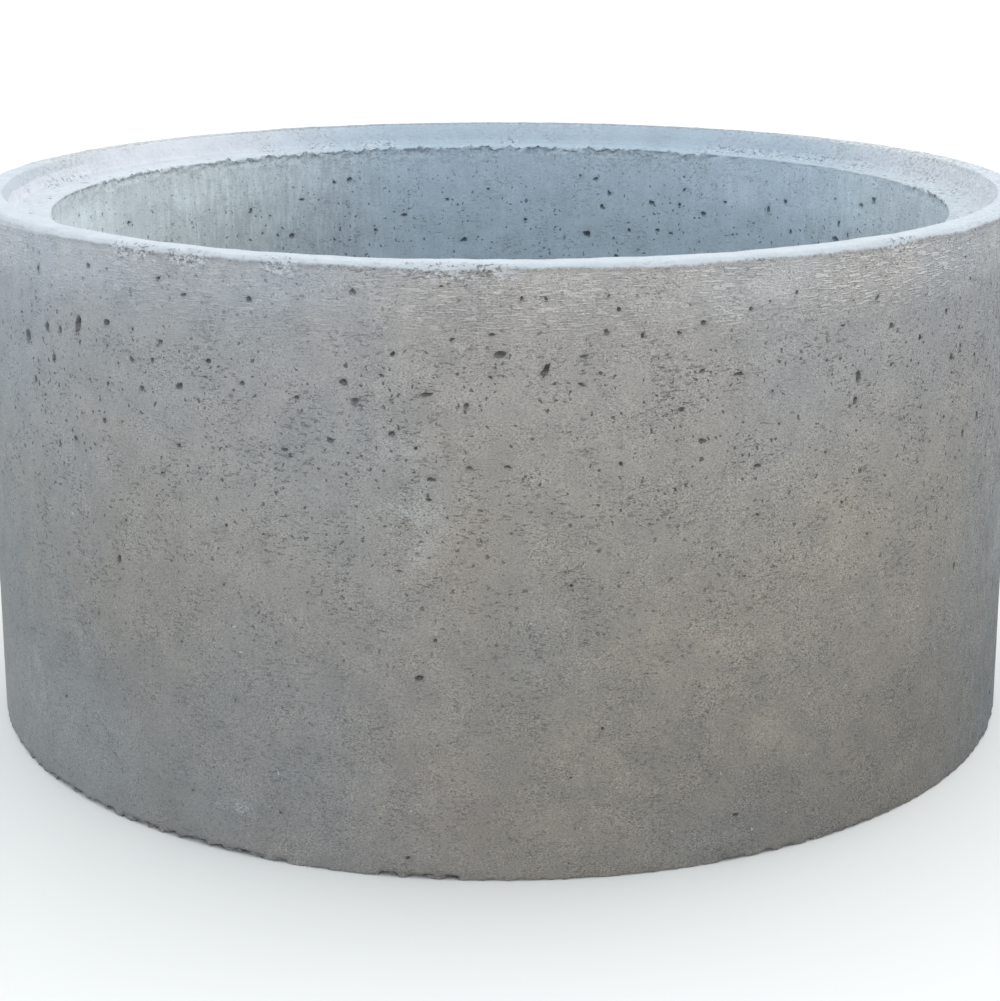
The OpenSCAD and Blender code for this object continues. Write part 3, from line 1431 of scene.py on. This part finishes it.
    def collar_band(self, nodes: Nodes, place: Socket, east: Socket, z: Socket) -> Socket:
        """Writes where the collar dragged the surface: a band under the rim, stronger to the right.

        Args:
            nodes: The tree.
            place: The coordinates.
            east: X.
            z: Height.

        Returns:
            The mask's socket.
        """
        band = nodes.band(z, self.drag_low - 20 * MM, self.drag_low + 30 * MM,
                          self.drag_high + 4 * MM, self.drag_high + 12 * MM)
        spread = nodes.fade(nodes.noise(place, 8.5, 2.0), 0.36, 0.52, 0.4, 1.0)
        return nodes.product(band, spread, nodes.fade(east, -0.35, 0.35, 0.5, 1.0))

    def marked_wall(self, nodes: Nodes, on: Surface) -> Socket:
        """Writes the outer wall's colour with its warm stains, pale blots and changes of hue.

        Args:
            nodes: The tree.
            on: The shared sockets.

        Returns:
            The colour's socket.
        """
        stained = nodes.product(on.rust, nodes.fade(on.mottle, 0.3, 0.7, 0.3, 1.0))
        colour = nodes.mix(stained, self.wall(nodes, on), self.ochre)
        chalky = nodes.product(on.bloom, nodes.fade(nodes.total(on.mottle, on.grit), 0.85, 1.2))
        colour = nodes.mix(chalky, colour, self.lime)
        hue = nodes.mix(nodes.fade(on.mottle, 0.3, 0.7), self.cool_hue, self.warm_hue)
        return nodes.tinted(colour, hue)

    def wall(self, nodes: Nodes, on: Surface) -> Socket:
        """Writes the outer wall's slow colours and its painted light and shade.

        Painted warm light makes it warmer towards +X and warm and pale low in the middle, painted sky light
        makes it cooler under the rim, and painted light and shade make it paler under the rim and darker
        towards the foot and the right edge.

        Args:
            nodes: The tree.
            on: The shared sockets.

        Returns:
            The colour's socket.
        """
        patch = nodes.product(nodes.noise(on.place, 3.4, 3.0), 0.8)
        # Painted warm light: the front turns warmer across a wide band, most a little right of the middle.
        sunny = nodes.product(nodes.band(on.east, -0.54, 0.18, 0.36, 0.56), 0.36)
        colour = nodes.mix(nodes.fade(nodes.total(patch, sunny), 0.34, 0.82), self.cool, self.warm)
        # Painted sky light: the wall turns cooler towards the rim.
        under_rim = nodes.fade(on.z, 0.28, self.height - 0.04)
        colour = nodes.mix(under_rim, colour, nodes.tinted(colour, self.sky_tint))
        # Painted warm light: a pale, warm glow low on the front, a little left of the middle.
        glow = nodes.product(nodes.band(on.east, -0.36, -0.20, -0.08, 0.04), nodes.fade(on.z, 0.42, 0.30))
        colour = nodes.mix(glow, colour, nodes.tinted(colour, self.glow_tint))

        # Painted light and shade: paler under the rim, at the upper ends, a little to the left and low on
        # the left; darker towards the foot, towards the right edge and low on the right.
        low_left = nodes.product(nodes.fade(on.east, -0.32, -0.46), nodes.fade(on.z, 0.16, 0.08), 0.10)
        low_right = nodes.product(nodes.fade(on.east, 0.0, 0.32), nodes.fade(on.z, 0.24, 0.06), -0.15)
        ends = nodes.math("MAXIMUM", nodes.fade(on.east, -0.30, -0.40), nodes.fade(on.east, 0.10, 0.24))
        ends = nodes.product(ends, nodes.fade(on.z, 0.505, 0.55, 0.0, 0.12))
        light = nodes.product(
            nodes.fade(on.z, 0.12, self.height + 0.05, 0.765, 1.105),
            nodes.fade(on.z, self.height - 0.075, self.height - 0.025, 1.0, 1.16),
            nodes.fade(on.east, 0.30, 0.56, 1.0, 0.885),
            nodes.fade(on.east, -0.06, -0.30, 1.0, 1.03),
            nodes.total(low_left, low_right, 1.0),
            nodes.total(ends, 1.0),
        )
        return nodes.scaled(colour, light)

    def passage_wall(self, nodes: Nodes, on: Surface) -> Socket:
        """Writes the colour of the passage's wall: bluish with painted sky light, with upright streaks, and
        with painted light and shade: paler at its sides, lighter and darker in patches, and darker deeper
        down.

        Args:
            nodes: The tree.
            on: The shared sockets.

        Returns:
            The colour's socket.
        """
        # Painted light: the sides of the passage take a paler copy of its colour.
        sides = nodes.math("MAXIMUM", on.left, nodes.product(on.right, 0.5))
        colour = nodes.mix(sides, self.inner, self.lit_inner)
        stain = nodes.noise(nodes.stretch(on.place, 120, 7), 1.0, 3.0, 0.65)
        weak = nodes.fade(stain, 0.25, 0.75, 0.97, 1.03)
        strong = nodes.fade(stain, 0.25, 0.75, 0.92, 1.08)
        colour = nodes.tinted(colour, nodes.mix(on.left, weak, strong))

        runs = nodes.noise(nodes.stretch(on.place, 170, 34), 1.0, 3.0, 0.7)
        strip = nodes.math("MAXIMUM", nodes.band(on.east, -0.47, -0.38, -0.22, -0.08),
                           nodes.fade(on.east, 0.28, 0.40, 0.0, 0.55))
        streaks = nodes.product(nodes.fade(runs, 0.36, 0.66, -0.09, 0.08), strip,
                                nodes.fade(on.z, 0.36, 0.44))
        colour = nodes.lifted(colour, streaks)

        # Painted light and shade: lighter at the far left and in a patch on the right, darker in a patch on
        # the left.
        far_left = nodes.product(nodes.fade(on.east, -0.46, -0.485),
                                 nodes.fade(on.z, 0.56, 0.53, 0.0, 0.19))
        shaded = nodes.product(nodes.band(on.east, -0.43, -0.36, -0.23, -0.15),
                               nodes.fade(on.z, 0.525, 0.475, 0.0, -0.15))
        lit = nodes.product(nodes.band(on.east, 0.23, 0.31, 0.45, 0.49),
                            nodes.fade(on.z, 0.475, 0.515, 0.0, 0.12))
        colour = nodes.lifted(colour, nodes.total(far_left, lit, shaded))
        # Painted shade: darker deeper down the passage, lighter near its top.
        return nodes.scaled(colour, nodes.fade(on.z, self.height - 0.18, self.height - 0.03, 0.93, 1.08))

    def tone(self, nodes: Nodes, on: Surface, wrinkle_shading: Socket, nicks: Socket) -> Socket:
        """Writes how light the bare concrete is.

        The sand is coarse in patches. It stands out least in the passage and at the smooth top left,
        and most to the right.

        Args:
            nodes: The tree.
            on: The shared sockets.
            wrinkle_shading: The painted highlights on the crests of the wrinkles, less the painted shade
                under each.
            nicks: The nicks in the cement skin.

        Returns:
            The socket of a factor for the colour.
        """
        contrast = nodes.product(
            nodes.fade(nodes.noise(on.place, 26, 3.0), 0.36, 0.64, 0.6, 1.12),
            nodes.fade(on.passage, 0.0, 1.0, 1.0, 0.48),
            nodes.fade(on.z, 0.10, 0.46, 1.1, 1.0),
            nodes.fade(on.east, -0.5, 0.4, 0.8, 1.2),
            nodes.fade(on.east, 0.42, 0.52, 1.0, 1.25),
            nodes.fade(on.dragged, 0.0, 0.6, 1.0, 0.85),
            nodes.fade(on.smooth, 0.0, 1.0, 1.0, 0.75),
        )
        sand = nodes.product(nodes.math("SUBTRACT", on.grit, 0.5), contrast)
        tone = nodes.product(nodes.math("MULTIPLY_ADD", sand, self.sand_tone, 1.0),
                             nodes.fade(on.mottle, 0.25, 0.75, 0.93, 1.07))
        upright = nodes.noise(nodes.stretch(on.place, 230, 55), 1.0, 2.0, 0.6)
        upright = nodes.product(nodes.math("SUBTRACT", upright, 0.5),
                                nodes.fade(on.east, 0.44, 0.52, 0.0, 0.85), on.outside)
        dark = nodes.product(
            nicks,
            nodes.fade(on.passage, 0.0, 1.0, 1.0, 0.5),
            nodes.fade(on.z, 0.12, 0.36, 0.4, 1.0),
            nodes.fade(on.smooth, 0.0, 1.0, 1.0, 0.4),
            nodes.fade(on.dragged, 0.0, 0.6, 1.0, 0.6),
            -self.nick_tone,
        )
        # The wrinkles add their painted highlights and shade here.
        return nodes.total(tone, nodes.product(on.dragged, wrinkle_shading, self.wrinkle_shading_tone), upright, dark)

    def pale_skin(self, nodes: Nodes, on: Surface, edge: Socket) -> Socket:
        """Writes the pale skin: nearly white on the rim, bluer in the rebate, grey on the far rim, with
        painted light on the sides of the rebate and of the far rim, and painted shade in the far rim's
        middle.

        Args:
            nodes: The tree.
            on: The shared sockets.
            edge: The skin that runs over the rim's outer edge.

        Returns:
            The colour's socket.
        """
        # Painted light: the rebate's left and right sides take paler copies of its colour.
        rebate = nodes.mix(on.left, nodes.mix(on.right, self.rebate, self.right_lit_rebate), self.left_lit_rebate)
        ledge = nodes.fade(on.z, self.height - 23 * MM, self.height - 26 * MM)
        rebate = nodes.mix(ledge, rebate, nodes.tinted(rebate, self.ledge_tint))
        # Painted light and shade on the far rim's skin: darker and bluer in its middle, paler at its sides.
        aside = nodes.math("MAXIMUM", nodes.fade(on.east, -0.2, -0.45), nodes.fade(on.east, 0.28, 0.5))
        worn = nodes.scaled(nodes.mix(aside, self.far_skin, self.side_skin),
                            nodes.fade(on.speck, 0.40, 0.56, 0.72, 1.12))
        skin = nodes.mix(nodes.fade(on.north, 0.0, 0.25), self.skin, worn)
        on_rim = nodes.math("MAXIMUM", nodes.fade(on.laitance, 0.75, 0.98), edge)
        skin = nodes.mix(on_rim, rebate, skin)
        skin = nodes.scaled(skin, nodes.fade(on.mottle, 0.25, 0.75, 0.95, 1.05))
        return nodes.lifted(skin, nodes.product(nodes.fade(on.speck, 0.35, 0.65, -0.13, 0.09), on.right))

    def speckled(self, nodes: Nodes, on: Surface, colour: Socket, covered: Socket) -> Socket:
        """Adds pale grains, pale crumbs, the painted shade of the pinholes and dark flecks, and the painted
        shade of the air holes to a colour.

        Args:
            nodes: The tree.
            on: The shared sockets.
            colour: The colour to add them to.
            covered: Where the pale skin is, which holds fewer pinholes.

        Returns:
            The new colour's socket.
        """
        # The near-black colour of painted shade, for the holes and the dark flecks.
        hole_shade = nodes.mix(on.passage, self.hole_shade, self.passage_hole_shade)
        holes, grains = self.pinholes(nodes, on)
        colour = nodes.mix(nodes.product(grains, on.outside), colour, self.lime)
        light = nodes.product(on.crumbs_and_shade, nodes.fade(on.speck, 0.52, 0.59, 0.0, 0.85))
        colour = nodes.mix(light, colour, self.skin)
        # Painted shade: the dark flecks among the crumbs, and the pinholes, take the near-black shade
        # colour.
        dark = nodes.product(on.crumbs_and_shade, nodes.fade(on.speck, 0.45, 0.38),
                             nodes.fade(on.passage, 0.0, 1.0, 0.85, 0.45))
        holes = nodes.product(holes, nodes.fade(covered, 0.0, 1.0, 1.0, 0.3))
        dark = nodes.product(nodes.math("MAXIMUM", holes, dark), self.hole_tone)
        colour = nodes.mix(dark, colour, hole_shade)
        # Painted shade in the air holes.
        return nodes.mix(nodes.product(on.pit_shade, self.pit_shade_tone), colour, hole_shade)

    def wrinkles(self, nodes: Nodes, on: Surface) -> tuple[Socket, Socket]:
        """Writes the short level wrinkles that a dragged collar leaves.

        Args:
            nodes: The tree.
            on: The shared sockets, whose slow noise bends them.

        Returns:
            The sockets of their height, and of the painted highlight on their crests less the painted shade
            in the line under each.
        """
        bend = nodes.vector("SCALE", {0: on.mottle}, {3: 1.1})
        spot = nodes.vector("ADD", {0: nodes.stretch(on.place, 70, 450), 1: bend})
        below = nodes.vector("ADD", {0: spot}, {1: (0.0, 0.0, 0.45)})
        wave = nodes.noise(spot, 1.0, 1.0, 0.5)
        # Painted highlight on each crest, and painted shade in the line under it.
        crest_highlight = nodes.fade(wave, 0.52, 0.61)
        shade_under_crest = nodes.fade(nodes.noise(below, 1.0, 1.0, 0.5), 0.52, 0.64, 0.0, 0.34)
        return nodes.fade(wave, 0.46, 0.61), nodes.math("SUBTRACT", crest_highlight, shade_under_crest)

    def nicks(self, nodes: Nodes, on: Surface) -> Socket:
        """Writes the short level nicks in the thin cement skin, in patches.

        Args:
            nodes: The tree.
            on: The shared sockets.

        Returns:
            The socket of a mask, 1 in the nicks.
        """
        sheet = nodes.noise(nodes.stretch(on.place, 135, 370), 1.0, 2.0, 0.65)
        patch = nodes.fade(nodes.noise(on.place, 21, 2.0), 0.40, 0.60, 0.15, 1.0)
        return nodes.product(nodes.fade(sheet, 0.575, 0.645), patch)

    def rim_edge(self, nodes: Nodes, on: Surface) -> tuple[Socket, Socket]:
        """Writes the uneven foot of the pale skin on the rim's outside, and a painted shadow line under it.

        Args:
            nodes: The tree.
            on: The shared sockets.

        Returns:
            The sockets of the skin's mask, and of the painted shadow line under it.
        """
        slow = nodes.product(nodes.math("SUBTRACT", nodes.noise(on.place, 16, 2.0), 0.5), 8 * MM)
        fine = nodes.math("SUBTRACT", nodes.noise(on.place, 90, 2.0, 0.6), 0.5)
        edge_z = nodes.total(on.z, slow, nodes.product(fine, 3.5 * MM))
        thick = nodes.total(edge_z, nodes.fade(on.east, -0.36, -0.54, 0.0, 6 * MM))
        edge = nodes.product(nodes.fade(thick, self.height - 8 * MM, self.height - 5 * MM),
                             nodes.fade(on.north, 0.05, 0.3, 1.0, 0.0))
        # Painted shadow line just under the foot of the skin.
        rim_shadow = nodes.band(edge_z, self.height - 13 * MM, self.height - 9 * MM,
                            self.height - 8.5 * MM, self.height - 6.5 * MM)
        return edge, nodes.product(rim_shadow, on.outside)

    def pinholes(self, nodes: Nodes, on: Surface) -> tuple[Socket, Socket]:
        """Writes the pinholes, denser in the upper wall, and a few pale grains.

        Args:
            nodes: The tree.
            on: The shared sockets. The deepest places of the sand are the finest holes.

        Returns:
            The sockets of two masks, 1 in the holes, and above 0 in the grains.
        """
        scale = self.pinholes_per_metre
        wander = nodes.add("TexNoise", {"Vector": on.place}, {"Scale": scale * 1.4, "Detail": 1.0})
        small = nodes.vector("SCALE", {0: wander.outputs["Color"]}, {3: 1.1 / scale})
        warped = nodes.vector("ADD", {0: on.place, 1: small})
        cell = nodes.add("TexVoronoi", {"Vector": warped}, {"Scale": scale})
        pick = nodes.add("SeparateColor", {0: cell.outputs["Color"]}).outputs[0]
        away = cell.outputs["Distance"]
        inside = nodes.math("SUBTRACT", nodes.product(pick, 0.33), away)
        round_ones = nodes.product(nodes.fade(pick, 0.60, 0.65), nodes.fade(inside, 0.0, 0.10),
                                   nodes.fade(on.z, 0.49, 0.53, 1.0, 0.55))
        cluster = nodes.noise(on.place, 10, 2.0)
        fine = nodes.product(nodes.fade(on.grit, 0.34, 0.26), nodes.fade(cluster, 0.4, 0.62, 0.25, 1.0))
        holes = nodes.product(nodes.math("MAXIMUM", round_ones, fine),
                              nodes.fade(on.z, 0.10, 0.42, 0.4, 1.0))
        grains = nodes.product(nodes.fade(pick, 0.045, 0.035), nodes.fade(away, 0.20, 0.13),
                               nodes.fade(cluster, 0.46, 0.58, 0.15, 0.85))
        return holes, grains

    def bump(self, nodes: Nodes, on: Surface, wrinkles: Socket, nicks: Socket) -> Socket:
        """Writes the fine relief.

        Args:
            nodes: The tree.
            on: The shared sockets.
            wrinkles: Height of the wrinkles under the rim.
            nicks: The nicks in the cement skin.

        Returns:
            The socket of the bent normal.
        """
        height = nodes.total(
            nodes.product(on.grit, 0.9),
            nodes.product(nodes.noise(on.place, 105, 2.0, 0.6), 1.2),
            nodes.product(wrinkles, on.dragged, 1.25),
            nodes.product(nicks, -0.5),
        )
        return nodes.add("Bump", {"Height": height}, {"Strength": 1.0, "Distance": 1.0 * MM}).outputs[0]


@dataclass(frozen=True)
class FloorFinish:
    """Plain pale floor paint.

    Attributes:
        colour: Its colour.
    """

    colour: Colour = (0.95, 0.935, 0.91)

    def build(self) -> bpy.types.Material:
        """Writes the material.

        Returns:
            The material.
        """
        nodes = Nodes("pale_floor")
        shader = nodes.add("BsdfPrincipled", values={"Base Color": (*self.colour, 1.0), "Roughness": 0.9,
                                                     "Specular IOR Level": 0.1})
        nodes.add("OutputMaterial", {"Surface": shader.outputs[0]})
        return nodes.material


@dataclass
class Studio:
    """The floor, the light and the camera round the ring.

    Attributes:
        outer_r: The ring's outside radius. It is not used.
        height: The ring's height.
        stand_off: How far the camera is from the axis.
        eye: The camera's height.
        pitch: How far the camera looks down, in degrees.
        lens: The lens, in millimetres on a 36 mm sensor.
        shift: The lens's rise, as a share of the picture.
        floor_size: Half the width of the floor.
        sky: Strength of the sky's light.
        sky_colour: Its colour.
        overhead: Strength of the wide soft sun overhead.
        overhead_colour: Its colour.
        box_power: Power of the soft box on the right, in watts.
        left_share: Power of the one on the left, as a share of it.
        box_size: Width of both soft boxes.
        box_colour: Their colour.
    """

    outer_r: float
    height: float
    stand_off: float = 2.422
    eye: float = 0.91
    pitch: float = 13.56
    lens: float = 76.7
    shift: float = -0.1
    floor_size: float = 60.0
    sky: float = 0.98
    sky_colour: Colour = (0.86, 0.94, 1.0)
    overhead: float = 0.75
    overhead_colour: Colour = (1.0, 0.95, 0.9)
    box_power: float = 9.0
    left_share: float = 0.6
    box_size: float = 1.6
    box_colour: Colour = (1.0, 0.98, 0.95)

    def floor(self) -> bpy.types.Object:
        """Lays the floor at the foot of the ring.

        Returns:
            The floor.
        """
        bm = bmesh.new()
        bmesh.ops.create_grid(bm, x_segments=1, y_segments=1, size=self.floor_size)
        mesh = bpy.data.meshes.new("floor")
        bm.to_mesh(mesh)
        bm.free()
        floor = bpy.data.objects.new("floor", mesh)
        bpy.context.collection.objects.link(floor)
        mesh.materials.append(FloorFinish().build())
        return floor

    def light(self) -> None:
        """Sets an even, slightly blue sky, a wide soft sun overhead, and a soft box on each side."""
        world = bpy.data.worlds.new("studio")
        bpy.context.scene.world = world
        world.use_nodes = True
        back = world.node_tree.nodes["Background"]
        back.inputs["Color"].default_value = (*self.sky_colour, 1.0)
        back.inputs["Strength"].default_value = self.sky
        sun = bpy.data.lights.new("overhead", "SUN")
        sun.energy = self.overhead
        sun.angle = math.radians(60)
        sun.color = self.overhead_colour
        holder = bpy.data.objects.new("overhead", sun)
        holder.rotation_euler = (math.radians(-8), math.radians(6), 0)
        bpy.context.collection.objects.link(holder)
        for name, side, share in (("left_box", -1, self.left_share), ("right_box", 1, 1.0)):
            lamp = bpy.data.lights.new(name, "AREA")
            lamp.shape = "DISK"
            lamp.size = self.box_size
            lamp.energy = self.box_power * share
            lamp.color = self.box_colour
            box = bpy.data.objects.new(name, lamp)
            spot = Vector((side * 2.0, 0.9, 2.6))
            turn = (Vector((0, 0, self.height)) - spot).to_track_quat("-Z", "Y")
            box.matrix_world = Matrix.Translation(spot) @ turn.to_matrix().to_4x4()
            bpy.context.collection.objects.link(box)

    def camera(self) -> bpy.types.Object:
        """Sets the camera in front of the ring, looking down into it.

        Returns:
            The camera.
        """
        lens = bpy.data.cameras.new("camera")
        lens.lens = self.lens
        lens.sensor_width = 36.0
        lens.shift_y = self.shift
        lens.clip_end = 200.0
        camera = bpy.data.objects.new("camera", lens)
        camera.matrix_world = (Matrix.Translation((0, -self.stand_off, self.eye))
                               @ Matrix.Rotation(math.radians(90 - self.pitch), 4, "X"))
        bpy.context.collection.objects.link(camera)
        bpy.context.scene.camera = camera
        return camera

    def grade(self) -> None:
        """Shows the colours plainly, with no film curve."""
        view = bpy.context.scene.view_settings
        view.view_transform = "Standard"
        view.look = "None"


def read_section() -> Section:
    """Reads the section's sizes from the frame.

    Returns:
        The section, at the frame's own size.
    """
    low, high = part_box(NODE)
    mounts = {mount["name"]: mount for mount in frame["record"]["mounts"]}
    return Section(
        outer_r=high[0],
        bore_r=mounts["clear_passage"]["dims"]["r_mm"] * MM,
        height=high[2] - low[2],
        ledge_z=mounts["rebate_ledge"]["pos_m"][2],
    )


def main() -> None:
    """Builds the studio and the ring, and reports each piece."""
    logging.basicConfig(level=logging.INFO, format="%(name)s: %(message)s")
    section = read_section()
    studio = Studio(section.outer_r, section.height)
    studio.camera()
    studio.floor()
    studio.light()
    studio.grade()
    ring = CastRing(section, Relief(section), PitPlan(section))
    casting = ring.build()
    finish = ConcreteFinish(section.height, section.drag_low, section.drag_high)
    casting.data.materials.append(finish.build())


if __name__ == "__main__":
    main()
